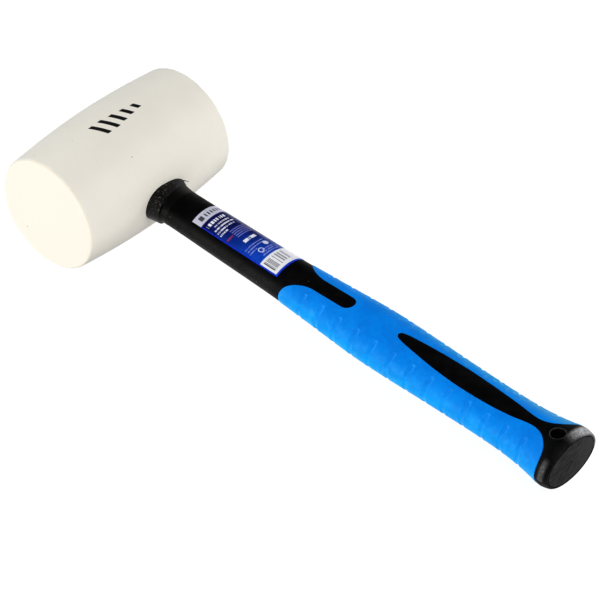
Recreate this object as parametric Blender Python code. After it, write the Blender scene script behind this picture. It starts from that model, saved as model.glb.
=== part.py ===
"""Rubber mallet with a white head and a two-colour handle, lying on its side.

Every piece is built in the mallet's own frame: the head's centre is the origin,
+X runs down the handle to the butt, the barrel lies along Y, and +Z is the side
with the label.  The empty "mallet" then lays the whole tool on the ground.
"""

from math import asin, cos, exp, pi, radians, sin, sqrt

import bmesh
import bpy
from mathutils import Vector
from mathutils.geometry import interpolate_bezier

# Gap left between two pieces that touch, and how far a cutter reaches past its piece.
GAP = 0.0003
PAST = 0.004

# Head: a barrel along Y, with an oval eye through it along X.
HEAD_LENGTH = 0.1077
HEAD_RADIUS = 0.0360
FACE_RADIUS = 0.0331
BARREL_POWER = 1.92
FACE_EDGE = 0.0022

# Flared mouth of the eye on the head's far side, and the resin that fills it.
EYE_MOUTH_DEPTH = 0.0110
EYE_MOUTH_FLARE = 0.0034
BOND_DEPTH = 0.0080
BOND_SINK = 0.0004

# Handle: oval sections, given as (distance from head axis, half width, half height).
TENON_END = -0.0346
BUTT_END = 0.3169
HANDLE_STATIONS = (
    (-0.0346, 0.01250, 0.0088),
    (0.0460, 0.01250, 0.0088),
    (0.0780, 0.01305, 0.00915),
    (0.1230, 0.01395, 0.00975),
    (0.1480, 0.01530, 0.0106),
    (0.1930, 0.0176, 0.0121),
    (0.2400, 0.0168, 0.0115),
    (0.2650, 0.01655, 0.0113),
    (0.2800, 0.0167, 0.0116),
    (0.2960, 0.01785, 0.0128),
    (0.3045, 0.0192, 0.0140),
    (0.3122, 0.0206, 0.0151),
)
RIM_INSET = 0.0014

# Butt plug: a flat oval disc in a pocket in the butt.
PLUG_HALF_WIDTH = 0.0181
PLUG_HALF_HEIGHT = 0.0131
PLUG_THICKNESS = 0.0030
PLUG_EDGE = 0.0003

# Hanging hole, through the butt along Z.
HOLE_X = 0.3075
HOLE_RADIUS = 0.0039
HOLE_LIP = 0.0006

# Fibreglass core and the taper wedge that spreads the tenon round it.
CORE_RADIUS = 0.0050
CORE_START = -0.0170
CORE_END = 0.2880
WEDGE_START = -0.0342
WEDGE_TAPER = 0.0006

# Grip: its thickness and the outline of the black lands, seen from +Z.
GRIP_THICKNESS = 0.0018
GRIP_FRONT = 0.1297
GRIP_REAR = 0.3094
LOBE_CORNER = 0.0150
TONGUE_START = 0.1465
TONGUE_END = 0.1702
TONGUE_HALF_WIDTH = 0.0045
TEARDROP = (
    (0.2012, 0.0),
    (0.2028, 0.0020),
    (0.2112, 0.0037),
    (0.2214, 0.0049),
    (0.2316, 0.0058),
    (0.2430, 0.0063),
    (0.2520, 0.0063),
    (0.2615, 0.0060),
    (0.2714, 0.00535),
    (0.2812, 0.0043),
    (0.2905, 0.0029),
    (0.2945, 0.0029),
    (0.2980, 0.0037),
    (0.3016, 0.0055),
    (0.3063, 0.0100),
    (0.3085, 0.0142),
)

# The black lands and the hanging hole sit a little to the -Y side of the middle.
LAND_SHIFT = -0.0009

# Half width of the lobes' rear end, and how far the plan reaches past the flanks.
REAR_CORNER = 0.0195
PLAN_REACH = 0.026

# Finger slots, pressed into both flanks of the grip.
SLOT_COUNT = 13
SLOT_FIRST = 0.1447
SLOT_PITCH = 0.01257
SLOT_WIDTH = 0.0027
SLOT_DEPTH = 0.0006
SLOT_HALF_ANGLE = radians(53)

# Collar round the neck: thickness over the handle at its root on the -Y side and on
# the top and bottom, how fast each tapers, the flare that it has on the +Y side, and
# the chamfer on its free end.  Inside the head it stops growing at COLLAR_BURIED.
COLLAR_START = 0.0300
COLLAR_ROOT = 0.0355
COLLAR_END = 0.0436
COLLAR_SIDE = 0.0028
COLLAR_SIDE_TAPER = 0.15
COLLAR_TOP = 0.0011
COLLAR_TOP_TAPER = 0.03
COLLAR_LEAST = 0.0009
FLARE = 0.0027
FLARE_REACH = 0.0047
COLLAR_CHAMFER = 0.0004
COLLAR_BURIED = 0.0335

# Label on the shaft's +Z side; its middle is an angle from +Y.
LABEL_START = 0.0631
LABEL_END = 0.1245
LABEL_MIDDLE = radians(82)
LABEL_HALF_ANGLE = radians(51)
LABEL_THICKNESS = 0.00025
LABEL_POCKET = 0.0004
LABEL_MARGIN = 0.0004

# Mesh density: sides of an oval section and of the barrel, and ring spacing.
SIDES = 40
ROUND_SIDES = 56
RING_STEP = 0.009
RIM_STEP = 0.0012
COLLAR_STEP = 0.0022


def clear_scene():
    for old in list(bpy.data.objects):
        bpy.data.objects.remove(old, do_unlink=True)


def material(name, colour, roughness, metallic=0.0):
    made = bpy.data.materials.new(name)
    made.use_nodes = True
    shader = made.node_tree.nodes["Principled BSDF"]
    shader.inputs["Base Color"].default_value = (*colour, 1.0)
    shader.inputs["Roughness"].default_value = roughness
    shader.inputs["Metallic"].default_value = metallic
    made.diffuse_color = (*colour, 1.0)
    return made


def add_object(name, mesh, finish=None, parent=None):
    piece = bpy.data.objects.new(name, mesh)
    bpy.context.scene.collection.objects.link(piece)
    piece.parent = parent
    if finish:
        mesh.materials.append(finish)
    return piece


def mesh_from(name, points, faces):
    mesh = bpy.data.meshes.new(name)
    mesh.from_pydata([tuple(p) for p in points], [], faces)
    bm = bmesh.new()
    bm.from_mesh(mesh)
    bmesh.ops.recalc_face_normals(bm, faces=bm.faces)
    bm.to_mesh(mesh)
    bm.free()
    return mesh


def shade(piece, angle=35):
    piece.data.shade_smooth()
    piece.data.set_sharp_from_angle(angle=radians(angle))


def cutter(name, mesh, parent):
    tool = add_object(name, mesh, parent=parent)
    tool.hide_render = True
    tool.display_type = "WIRE"
    return tool


def boolean(piece, operation, tool):
    step = piece.modifiers.new(f"{operation.lower()} {tool.name}", "BOOLEAN")
    step.operation = operation
    step.solver = "EXACT"
    step.object = tool


def smooth_value(stations, x, column):
    """Value of a column at x, on a smooth curve through the stations."""
    if x <= stations[0][0]:
        return stations[0][column]
    if x >= stations[-1][0]:
        return stations[-1][column]
    i = max(n for n, station in enumerate(stations) if station[0] <= x)
    x0, x1 = stations[i][0], stations[i + 1][0]
    y0, y1 = stations[i][column], stations[i + 1][column]
    slope0 = station_slope(stations, i, column)
    slope1 = station_slope(stations, i + 1, column)
    t = (x - x0) / (x1 - x0)
    ease = t * t * (3 - 2 * t)
    bend = (x1 - x0) * (slope0 * t * (1 - t) ** 2 - slope1 * t * t * (1 - t))
    return y0 + (y1 - y0) * ease + bend


def station_slope(stations, i, column):
    """Slope at a station: flat at the ends and where the curve turns back."""
    if i == 0 or i == len(stations) - 1:
        return 0.0
    before = (stations[i][column] - stations[i - 1][column]) / (stations[i][0] - stations[i - 1][0])
    after = (stations[i + 1][column] - stations[i][column]) / (stations[i + 1][0] - stations[i][0])
    if before * after <= 0:
        return 0.0
    return 2 * before * after / (before + after)


def handle_half_sizes(x):
    """Half width (Y) and half height (Z) of the handle's outer surface at x."""
    width = smooth_value(HANDLE_STATIONS, x, 1)
    height = smooth_value(HANDLE_STATIONS, x, 2)
    rim_start = HANDLE_STATIONS[-1][0]
    if x > rim_start:
        t = (x - rim_start) / (BUTT_END - rim_start)
        drop = RIM_INSET * (0.4 * t + 0.6 * (1 - sqrt(max(0.0, 1 - t * t))))
        width -= drop
        height -= drop
    return width, height


def oval(x, half_width, half_height, sides=SIDES):
    turns = [2 * pi * n / sides for n in range(sides)]
    return [Vector((x, half_width * cos(a), half_height * sin(a))) for a in turns]


def spaced(start, end, step):
    count = max(1, round((end - start) / step))
    return [start + (end - start) * n / count for n in range(count + 1)]


def loft_mesh(name, rings):
    """Closed skin through the rings, with a flat cap at both ends."""
    sides = len(rings[0])
    points = [p for ring in rings for p in ring]
    faces = [tuple(range(sides)), tuple(range(len(points) - sides, len(points)))]
    for r in range(len(rings) - 1):
        low = r * sides
        for n in range(sides):
            m = (n + 1) % sides
            faces.append((low + n, low + m, low + sides + m, low + sides + n))
    return mesh_from(name, points, faces)


def ring_mesh(name, outer_rings, inner_rings):
    """Closed tube wall between two sets of rings that start and end together."""
    sides = len(outer_rings[0])
    loop = outer_rings + inner_rings[::-1]
    points = [p for ring in loop for p in ring]
    faces = []
    for r in range(len(loop)):
        low = r * sides
        high = (r + 1) % len(loop) * sides
        for n in range(sides):
            m = (n + 1) % sides
            faces.append((low + n, low + m, high + m, high + n))
    return mesh_from(name, points, faces)


def handle_mesh(name, start, end, inset=0.0, step=RING_STEP):
    """Solid inside the handle's surface, moved in by inset."""
    rim_start = HANDLE_STATIONS[-1][0]
    places = spaced(start, min(end, rim_start), step)
    if end > rim_start:
        places += spaced(rim_start, end, RIM_STEP)[1:]
    rings = []
    for x in places:
        width, height = handle_half_sizes(x)
        rings.append(oval(x, width - inset, height - inset))
    return loft_mesh(name, rings)


def prism_mesh(name, outline):
    """Plan outline extruded along Z, past both sides of the handle."""
    rings = [[Vector((x, y, z)) for x, y in outline] for z in (-PLAN_REACH, PLAN_REACH)]
    return loft_mesh(name, rings)


def barrel_outline(outset=0.0, steps=12):
    """Half profile of the barrel as (radius, y), from one face to the other."""
    half = HEAD_LENGTH / 2 + outset
    edge = FACE_EDGE
    corner = []
    for n in range(6):
        a = n / 5 * pi / 2
        corner.append((FACE_RADIUS + outset - edge * (1 - sin(a)), half - edge * (1 - cos(a))))
    crown = []
    for n in range(1, steps):
        y = (half - edge) * cos(pi * n / steps)
        share = abs(y / (half - edge)) ** BARREL_POWER
        crown.append((HEAD_RADIUS + outset - (HEAD_RADIUS - FACE_RADIUS) * share, y))
    opposite = [(r, -y) for r, y in corner[::-1]]
    return corner + crown + opposite


def barrel_mesh(name, outset=0.0):
    rings = []
    for radius, y in barrel_outline(outset):
        turns = [2 * pi * n / ROUND_SIDES for n in range(ROUND_SIDES)]
        rings.append([Vector((radius * cos(a), y, radius * sin(a))) for a in turns])
    return loft_mesh(name, rings)


def eye_rings(clearance):
    """Rings of the eye: straight through the head, with a flared mouth at -X."""
    width, height = handle_half_sizes(0.0)
    width += clearance
    height += clearance
    flare_start = -HEAD_RADIUS + EYE_MOUTH_DEPTH
    flare_end = -HEAD_RADIUS - PAST
    flare = EYE_MOUTH_FLARE * (flare_start - flare_end) / EYE_MOUTH_DEPTH
    return [
        oval(HEAD_RADIUS + PAST, width, height),
        oval(flare_start, width, height),
        oval(flare_end, width + flare, height + flare),
    ]


def make_head(mallet):
    rubber = material("white_rubber", (0.82, 0.80, 0.72), 0.75)
    head = add_object("head", barrel_mesh("head"), rubber, mallet)
    eye = cutter("eye_cutter", loft_mesh("eye_cutter", eye_rings(GAP)), mallet)
    boolean(head, "DIFFERENCE", eye)
    shade(head)


def make_eye_bond(mallet):
    """Resin that fills the eye's flared mouth, flush with the barrel."""
    resin = material("resin", (0.05, 0.05, 0.05), 0.35)
    width, height = handle_half_sizes(0.0)
    outer = []
    inner = []
    for x in (-HEAD_RADIUS + BOND_DEPTH, -HEAD_RADIUS - PAST):
        flare = EYE_MOUTH_FLARE * (-HEAD_RADIUS + EYE_MOUTH_DEPTH - x) / EYE_MOUTH_DEPTH
        outer.append(oval(x, width + flare, height + flare))
        inner.append(oval(x, width + GAP, height + GAP))
    bond = add_object("eye_bond", ring_mesh("eye_bond", outer, inner), resin, mallet)
    keep = cutter("bond_keep", barrel_mesh("bond_keep", outset=-BOND_SINK), mallet)
    boolean(bond, "INTERSECT", keep)
    shade(bond)


def round_mesh(name, stations, sides=24):
    """Solid round bar along X through (x, radius) stations."""
    return loft_mesh(name, [oval(x, radius, radius, sides) for x, radius in stations])


def make_core(mallet):
    fibreglass = material("fibreglass", (0.75, 0.62, 0.30), 0.45)
    mesh = round_mesh("handle_core", ((CORE_START, CORE_RADIUS), (CORE_END, CORE_RADIUS)))
    core = add_object("handle_core", mesh, fibreglass, mallet)
    shade(core)


def make_wedge(mallet):
    steel = material("wedge_steel", (0.55, 0.55, 0.56), 0.35, 1.0)
    wedge_end = CORE_START - GAP
    stations = ((WEDGE_START, CORE_RADIUS), (wedge_end, CORE_RADIUS - WEDGE_TAPER))
    wedge = add_object("tenon_wedge", round_mesh("tenon_wedge", stations), steel, mallet)
    shade(wedge)


def front_lobe_edge():
    """Front edge of the grip on the +Y flank, from the flank in to the tongue."""
    flank = Vector((GRIP_FRONT, LOBE_CORNER, 0))
    flank_pull = Vector((GRIP_FRONT, 0.7 * LOBE_CORNER, 0))
    tongue = Vector((TONGUE_START, TONGUE_HALF_WIDTH, 0))
    tongue_pull = Vector(((GRIP_FRONT + TONGUE_START) / 2, TONGUE_HALF_WIDTH, 0))
    return [(p.x, p.y) for p in interpolate_bezier(flank, flank_pull, tongue_pull, tongue, 9)]


def tongue_end():
    """Quarter of the black tongue's round end, from its +Y side to its tip."""
    centre = TONGUE_END - TONGUE_HALF_WIDTH
    turns = [pi / 2 * (1 - n / 6) for n in range(7)]
    return [(centre + TONGUE_HALF_WIDTH * cos(a), TONGUE_HALF_WIDTH * sin(a)) for a in turns]


def teardrop_edge():
    """Edge of the rear black land on the +Y side, from its tip to the butt."""
    tip_x, near_tip = TEARDROP[0][0], TEARDROP[1]
    edge = [(tip_x, 0.0), (tip_x + 0.0004, near_tip[1] * 0.6)]
    for x in spaced(near_tip[0], TEARDROP[-1][0], 0.0044):
        edge.append((x, smooth_value(TEARDROP[1:], x, 1)))
    return edge


def grip_outline():
    """Plan of the space that the grip fills, seen from +Z, running anticlockwise."""
    rear = teardrop_edge() + [(GRIP_REAR, REAR_CORNER), (GRIP_REAR, PLAN_REACH)]
    front = [(GRIP_FRONT, PLAN_REACH)] + front_lobe_edge() + tongue_end()
    half = rear + front
    whole = half + [(x, -y) for x, y in half[-2:0:-1]]
    return [(x, y + LAND_SHIFT) for x, y in whole]


def offset_outline(outline, distance):
    """Outline moved inwards by distance, for an outline that runs anticlockwise."""
    moved = []
    count = len(outline)
    for n in range(count):
        before = (Vector(outline[n]) - Vector(outline[n - 1])).normalized()
        after = (Vector(outline[(n + 1) % count]) - Vector(outline[n])).normalized()
        along = (before + after).normalized()
        inward = Vector((-along.y, along.x)) * (distance / max(0.5, along.dot(after)))
        moved.append(tuple(Vector(outline[n]) + inward))
    return moved


def slot_cutter_mesh():
    """All finger slots as round bars bent round the flanks, sunk by the slot's depth."""
    radius = (SLOT_WIDTH**2 / 4 + SLOT_DEPTH**2) / (2 * SLOT_DEPTH)
    points = []
    faces = []
    for n in range(SLOT_COUNT):
        x = SLOT_FIRST + n * SLOT_PITCH
        for flank in (0.0, pi):
            add_slot_bar(points, faces, x, flank, radius)
    return mesh_from("slot_cutter", points, faces)


def add_slot_bar(points, faces, x, flank, radius, steps=8, sides=10):
    """One bar that follows the section's flank at x, with flat ends."""
    width, height = handle_half_sizes(x)
    lift = radius - SLOT_DEPTH
    first = len(points)
    for s in range(steps + 1):
        a = flank + SLOT_HALF_ANGLE * (2 * s / steps - 1)
        normal = Vector((0, cos(a) / width, sin(a) / height)).normalized()
        centre = Vector((x, width * cos(a), height * sin(a))) + normal * lift
        for n in range(sides):
            turn = 2 * pi * n / sides
            points.append(centre + Vector((1, 0, 0)) * radius * cos(turn) + normal * radius * sin(turn))
    for s in range(steps):
        low = first + s * sides
        for n in range(sides):
            m = (n + 1) % sides
            faces.append((low + n, low + m, low + sides + m, low + sides + n))
    last = first + steps * sides
    faces.append(tuple(range(first, first + sides)))
    faces.append(tuple(range(last, last + sides)))


def grip_inside(name, mallet, inset):
    """The handle's surface moved in by inset, a little longer than the grip."""
    mesh = handle_mesh(name, GRIP_FRONT - 2 * PAST, GRIP_REAR + PAST, inset)
    return cutter(name, mesh, mallet)


def make_grip(mallet):
    soft = material("blue_grip", (0.0, 0.20, 0.80), 0.55)
    mesh = handle_mesh("grip_sleeve", GRIP_FRONT - PAST, GRIP_REAR + PAST / 4)
    grip = add_object("grip_sleeve", mesh, soft, mallet)
    plan = offset_outline(grip_outline(), GAP)
    keep = cutter("grip_keep", prism_mesh("grip_keep", plan), mallet)
    inside = grip_inside("grip_inside", mallet, GRIP_THICKNESS - GAP)
    slots = cutter("slot_cutter", slot_cutter_mesh(), mallet)
    boolean(grip, "INTERSECT", keep)
    boolean(grip, "DIFFERENCE", inside)
    boolean(grip, "DIFFERENCE", slots)
    shade(grip)


def patch_mesh(name, start, end, half_angle, inner_inset, outer_inset):
    """Curved plate that follows the shaft's +Z side between two depths."""
    turns = [LABEL_MIDDLE - half_angle + 2 * half_angle * n / 16 for n in range(17)]
    rings = []
    for x in spaced(start, end, 0.010):
        width, height = handle_half_sizes(x)
        inner = [patch_point(x, width, height, a, inner_inset) for a in turns]
        outer = [patch_point(x, width, height, a, outer_inset) for a in turns[::-1]]
        rings.append(inner + outer)
    return loft_mesh(name, rings)


def patch_point(x, width, height, angle, inset):
    return Vector((x, (width - inset) * cos(angle), (height - inset) * sin(angle)))


def make_label(mallet):
    film = material("label_film", (0.02, 0.06, 0.50), 0.25)
    angle = LABEL_HALF_ANGLE
    inner = LABEL_POCKET - GAP
    mesh = patch_mesh("handle_label", LABEL_START, LABEL_END, angle, inner, inner - LABEL_THICKNESS)
    label = add_object("handle_label", mesh, film, mallet)
    shade(label)


def label_pocket(mallet):
    angle = LABEL_HALF_ANGLE + LABEL_MARGIN / handle_half_sizes(LABEL_START)[1]
    start = LABEL_START - LABEL_MARGIN
    end = LABEL_END + LABEL_MARGIN
    mesh = patch_mesh("label_pocket", start, end, angle, LABEL_POCKET, -PAST)
    return cutter("label_pocket", mesh, mallet)


def bore_cutter(mallet):
    """Blind bore for the core, open at the head end."""
    radius = CORE_RADIUS + GAP
    stations = ((TENON_END - PAST, radius), (CORE_END + GAP, radius))
    return cutter("core_bore", round_mesh("core_bore", stations), mallet)


def plug_pocket(mallet):
    size = (PLUG_HALF_WIDTH + GAP, PLUG_HALF_HEIGHT + GAP)
    floor = BUTT_END - PLUG_THICKNESS - GAP
    rings = [oval(floor, *size), oval(BUTT_END + PAST, *size)]
    return cutter("plug_pocket", loft_mesh("plug_pocket", rings), mallet)


def hole_cutter(mallet):
    """Hanging hole along Z, opened out a little at both faces."""
    face = handle_half_sizes(HOLE_X)[1]
    stations = [(-PLAN_REACH, HOLE_RADIUS + HOLE_LIP), (HOLE_LIP - face, HOLE_RADIUS)]
    stations += [(-z, radius) for z, radius in stations[::-1]]
    rings = []
    for z, radius in stations:
        turns = [2 * pi * n / 32 for n in range(32)]
        rings.append([Vector((HOLE_X + radius * cos(a), LAND_SHIFT + radius * sin(a), z)) for a in turns])
    return cutter("hole_cutter", loft_mesh("hole_cutter", rings), mallet)


def grip_space(mallet):
    """The space round the jacket that the grip fills."""
    mesh = prism_mesh("grip_space", grip_outline())
    space = cutter("grip_space", mesh, mallet)
    boolean(space, "DIFFERENCE", grip_inside("jacket_waist", mallet, GRIP_THICKNESS))
    return space


def make_jacket(mallet):
    black = material("black_plastic", (0.012, 0.012, 0.013), 0.42)
    jacket = add_object("handle_jacket", handle_mesh("handle_jacket", TENON_END, BUTT_END), black, mallet)
    for tool in (grip_space, bore_cutter, plug_pocket, hole_cutter, label_pocket):
        boolean(jacket, "DIFFERENCE", tool(mallet))
    shade(jacket)


def make_butt_plug(mallet):
    grey = material("plug_plastic", (0.035, 0.035, 0.036), 0.55)
    back = BUTT_END - PLUG_THICKNESS
    rings = [
        oval(back, PLUG_HALF_WIDTH, PLUG_HALF_HEIGHT),
        oval(BUTT_END - PLUG_EDGE, PLUG_HALF_WIDTH, PLUG_HALF_HEIGHT),
        oval(BUTT_END, PLUG_HALF_WIDTH - PLUG_EDGE, PLUG_HALF_HEIGHT - PLUG_EDGE),
    ]
    plug = add_object("butt_plug", loft_mesh("butt_plug", rings), grey, mallet)
    shade(plug)


def collar_lift(x, turn):
    """Thickness of the collar over the handle's surface at x and an angle from +Y."""
    far, near = max(0.0, cos(turn)), max(0.0, -cos(turn))
    past = max(x, COLLAR_BURIED) - COLLAR_ROOT
    side_layer = near * (COLLAR_SIDE - COLLAR_SIDE_TAPER * past)
    top_layer = (1 - near - far) * (COLLAR_TOP - COLLAR_TOP_TAPER * past)
    flare = FLARE * exp(-past / FLARE_REACH) * far**2
    return max(COLLAR_LEAST, side_layer + top_layer + flare)


def collar_ring(x, lift_at):
    """Ring round the handle at x, lifted off its surface by lift_at(turn)."""
    width, height = handle_half_sizes(x)
    ring = []
    for n in range(SIDES):
        turn = 2 * pi * n / SIDES
        lift = lift_at(turn)
        ring.append(Vector((x, (width + lift) * cos(turn), (height + lift) * sin(turn))))
    return ring


def make_collar(mallet):
    grained = material("collar_rubber", (0.018, 0.018, 0.018), 0.70)
    places = spaced(COLLAR_START, COLLAR_END - COLLAR_CHAMFER, COLLAR_STEP) + [COLLAR_END]
    outer = [collar_ring(x, lambda turn: collar_lift(x, turn)) for x in places[:-1]]
    outer.append(collar_ring(COLLAR_END, lambda turn: collar_lift(COLLAR_END, turn) - COLLAR_CHAMFER))
    inner = [collar_ring(x, lambda turn: GAP) for x in places]
    collar = add_object("neck_collar", ring_mesh("neck_collar", outer, inner), grained, mallet)
    seat = cutter("collar_seat", barrel_mesh("collar_seat", outset=GAP), mallet)
    boolean(collar, "DIFFERENCE", seat)
    shade(collar)


def lay_down(mallet):
    """Rest the head and the butt on z = 0, with the tool's middle over the origin."""
    butt_x, _, butt_height = HANDLE_STATIONS[-1]
    lean = asin((HEAD_RADIUS - butt_height) / butt_x)
    mallet.rotation_euler = (0, lean, 0)
    far_end = BUTT_END * cos(lean) + PLUG_HALF_HEIGHT * sin(lean)
    mallet.location = ((HEAD_RADIUS - far_end) / 2, 0, HEAD_RADIUS)


def main():
    clear_scene()
    mallet = bpy.data.objects.new("mallet", None)
    bpy.context.scene.collection.objects.link(mallet)
    lay_down(mallet)
    make_head(mallet)
    make_eye_bond(mallet)
    make_core(mallet)
    make_wedge(mallet)
    make_jacket(mallet)
    make_grip(mallet)
    make_collar(mallet)
    make_label(mallet)
    make_butt_plug(mallet)


main()
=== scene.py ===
"""Looks of the rubber mallet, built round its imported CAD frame.

Every piece is modelled in the mallet's own frame, as in the CAD: the head's centre
is the origin, +X runs down the handle to the butt, the barrel lies along Y, and +Z
is the side with the label.  mallet_matrix() then lays each piece where the CAD is.
Lengths are in metres.  A "turn" is the angle round an oval section, from +Y to +Z.
"""

from math import acos, asin, atan2, cos, exp, hypot, pi, radians, sin, sqrt

import bmesh
import bpy
import numpy as np
from mathutils import Matrix, Vector, noise
from mathutils.geometry import delaunay_2d_cdt, interpolate_bezier


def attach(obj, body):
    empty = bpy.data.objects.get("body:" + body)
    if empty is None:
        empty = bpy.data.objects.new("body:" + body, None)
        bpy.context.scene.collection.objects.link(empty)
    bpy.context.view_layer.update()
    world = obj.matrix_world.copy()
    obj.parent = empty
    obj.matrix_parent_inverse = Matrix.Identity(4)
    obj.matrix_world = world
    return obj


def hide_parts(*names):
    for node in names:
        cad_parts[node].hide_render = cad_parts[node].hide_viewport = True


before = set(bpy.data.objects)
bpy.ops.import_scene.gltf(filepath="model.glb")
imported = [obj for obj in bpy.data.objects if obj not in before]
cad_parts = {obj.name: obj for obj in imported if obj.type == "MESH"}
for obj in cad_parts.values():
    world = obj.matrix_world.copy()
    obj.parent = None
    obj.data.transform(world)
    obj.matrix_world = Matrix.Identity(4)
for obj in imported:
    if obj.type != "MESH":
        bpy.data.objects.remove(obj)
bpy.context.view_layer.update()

# Camera: where it looks from, in degrees, and what it looks at.
VIEW_AZIMUTH = 42.303
VIEW_ELEVATION = 40.639
VIEW_ROLL = -0.452
VIEW_DISTANCE = 2.2589
VIEW_TARGET = (-0.01212, 0.00420, 0.01312)
LENS = 257.13

# Head.
HEAD_LENGTH = 0.1077
HEAD_RADIUS = 0.0360
FACE_RADIUS = 0.0331
BARREL_POWER = 1.92
FACE_EDGE = 0.0018
EYE_MOUTH_DEPTH = 0.0110
EYE_MOUTH_FLARE = 0.0034
BOND_DEPTH = 0.0080
BOND_SINK = 0.0004
GAP = 0.0003
HEAD_SPOTS = ((-0.0148, -0.0488, 0.0301), (0.0217, -0.0120, 0.0285), (-0.0145, -0.0538, -0.0175))

# Handle: (distance from the head's axis, half width, half height).
TENON_END = -0.0346
BUTT_END = 0.3169
HANDLE_STATIONS = (
    (-0.0346, 0.01250, 0.0088),
    (0.0460, 0.01250, 0.0088),
    (0.0780, 0.01305, 0.00915),
    (0.1230, 0.01395, 0.00975),
    (0.1480, 0.01530, 0.0106),
    (0.1930, 0.0176, 0.0121),
    (0.2400, 0.0168, 0.0115),
    (0.2650, 0.01655, 0.0113),
    (0.2800, 0.0167, 0.0116),
    (0.2960, 0.01785, 0.0128),
    (0.3045, 0.0192, 0.0140),
    (0.3122, 0.0206, 0.0151),
)
RIM_START = HANDLE_STATIONS[-1][0]
RIM_INSET = 0.0014
LOFT_START = 0.1200
CORE_BORE = 0.0053
CORE_BORE_END = 0.2883

# Hanging hole and butt plug.
HOLE_X = 0.3075
HOLE_RADIUS = 0.0039
HOLE_LIP = 0.0006
PLUG_HALF_WIDTH = 0.0181
PLUG_HALF_HEIGHT = 0.0131
PLUG_THICKNESS = 0.0030
PLUG_EDGE = 0.0003
PLUG_SIDES = 128

# Grip: outline of the black lands seen from +Z, on the +Y side.
GRIP_THICKNESS = 0.0018
GRIP_FRONT = 0.1297
LOBE_CORNER = 0.0150
TONGUE_START = 0.1465
TONGUE_END = 0.1702
TONGUE_HALF_WIDTH = 0.0045
TEARDROP = (
    (0.2012, 0.0),
    (0.2016, 0.0011),
    (0.2028, 0.0020),
    (0.2060, 0.0029),
    (0.2112, 0.0037),
    (0.2214, 0.0049),
    (0.2316, 0.0058),
    (0.2430, 0.0063),
    (0.2520, 0.0063),
    (0.2615, 0.0060),
    (0.2714, 0.00535),
    (0.2812, 0.0043),
    (0.2860, 0.0035),
    (0.2905, 0.0029),
    (0.2945, 0.0029),
    (0.2980, 0.0037),
    (0.3016, 0.0055),
    (0.3063, 0.0100),
    (0.3085, 0.0142),
    (0.3093, 0.0182),
    (0.3094, 0.0208),
)

# The lands and the hole sit a little to the -Y side of the handle's middle.
LAND_SHIFT = -0.0009

# (distance out from the seam, lift) over the black land's small rounded edge.
LAND_PROFILE = ((0.00030, 0.0), (0.00012, -0.00002), (0.00003, -0.00008), (0.0, -0.00018))

# The grip's skin over the lands, its rounded edge, and the seam beside it.
GRIP_LIFT = 0.00022
GRIP_ROUND = 0.00045
GRIP_SEAM = 0.00012

# Finger slots in both flanks of the grip.
SLOT_COUNT = 13
SLOT_FIRST = 0.1447
SLOT_PITCH = 0.01257
SLOT_WIDTH = 0.0027
SLOT_DEPTH = 0.0006
SLOT_HALF_ANGLE = radians(53)

# Collar at the neck: its oblique free end, and the flare it leaves on the +Y side.
COLLAR_END = 0.0410
COLLAR_SLANT = 0.0027
COLLAR_ROOT = 0.0355
FLARE = 0.0027
FLARE_REACH = 0.0047
FLARE_END = 0.0475
COLLAR_EDGE = 0.0004
COLLAR_SIDES = 240

# Label, and its rows of dashes as (place along the label, low and high place across).
LABEL_START = 0.0631
LABEL_END = 0.1245
LABEL_LOW = radians(133)
LABEL_HIGH = radians(31)
PRINT_ANGLE = radians(86)
LABEL_BACK = 0.00002
LABEL_FRONT = 0.00012
HEADER_END = 0.107
BIG_ROWS = ((0.160, 0.10, 0.80), (0.525, 0.34, 0.78))
SMALL_ROWS = ((0.210, 0.22, 0.80), (0.246, 0.12, 0.86), (0.282, 0.10, 0.80), (0.318, 0.08, 0.40))
FINE_ROWS = ((0.60, 0.12, 0.80), (0.63, 0.12, 0.76), (0.66, 0.10, 0.40),
             (0.71, 0.42, 0.90), (0.735, 0.36, 0.90), (0.76, 0.30, 0.88))
RED_ROWS = ((0.40, 0.06, 0.34),)

# Mesh: the top's turn, sides of a quarter section, steps on the lands, the gap
# under a thin skin, and the unrolled width of a radian.
TOP = pi / 2
QUARTER_SIDES = 32
SKIN_GAP = 0.00003
LAND_STEP = 0.0014
UNROLLED = 0.0145


# ---- shape functions

def station_slope(stations, i, column):
    """Slope at a station: flat at the ends and where the curve turns back."""
    if i == 0 or i == len(stations) - 1:
        return 0.0
    before = (stations[i][column] - stations[i - 1][column]) / (stations[i][0] - stations[i - 1][0])
    after = (stations[i + 1][column] - stations[i][column]) / (stations[i + 1][0] - stations[i][0])
    if before * after <= 0:
        return 0.0
    return 2 * before * after / (before + after)


def smooth_value(stations, x, column):
    """Value of a column at x, on a smooth curve through the stations."""
    if x <= stations[0][0]:
        return stations[0][column]
    if x >= stations[-1][0]:
        return stations[-1][column]
    i = max(n for n, station in enumerate(stations) if station[0] <= x)
    x0, x1 = stations[i][0], stations[i + 1][0]
    y0, y1 = stations[i][column], stations[i + 1][column]
    t = (x - x0) / (x1 - x0)
    ease = t * t * (3 - 2 * t)
    slope0 = station_slope(stations, i, column)
    slope1 = station_slope(stations, i + 1, column)
    return y0 + (y1 - y0) * ease + (x1 - x0) * (slope0 * t * (1 - t) ** 2 - slope1 * t * t * (1 - t))


def handle_half_sizes(x):
    """Half width (Y) and half height (Z) of the handle's outer surface at x."""
    width = smooth_value(HANDLE_STATIONS, x, 1)
    height = smooth_value(HANDLE_STATIONS, x, 2)
    if x > RIM_START:
        t = (x - RIM_START) / (BUTT_END - RIM_START)
        drop = RIM_INSET * (0.4 * t + 0.6 * (1 - sqrt(max(0.0, 1 - t * t))))
        width -= drop
        height -= drop
    return width, height


def outward(turn, width, height):
    """Normal of an oval section at a turn."""
    return Vector((0, cos(turn) / width, sin(turn) / height)).normalized()


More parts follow.
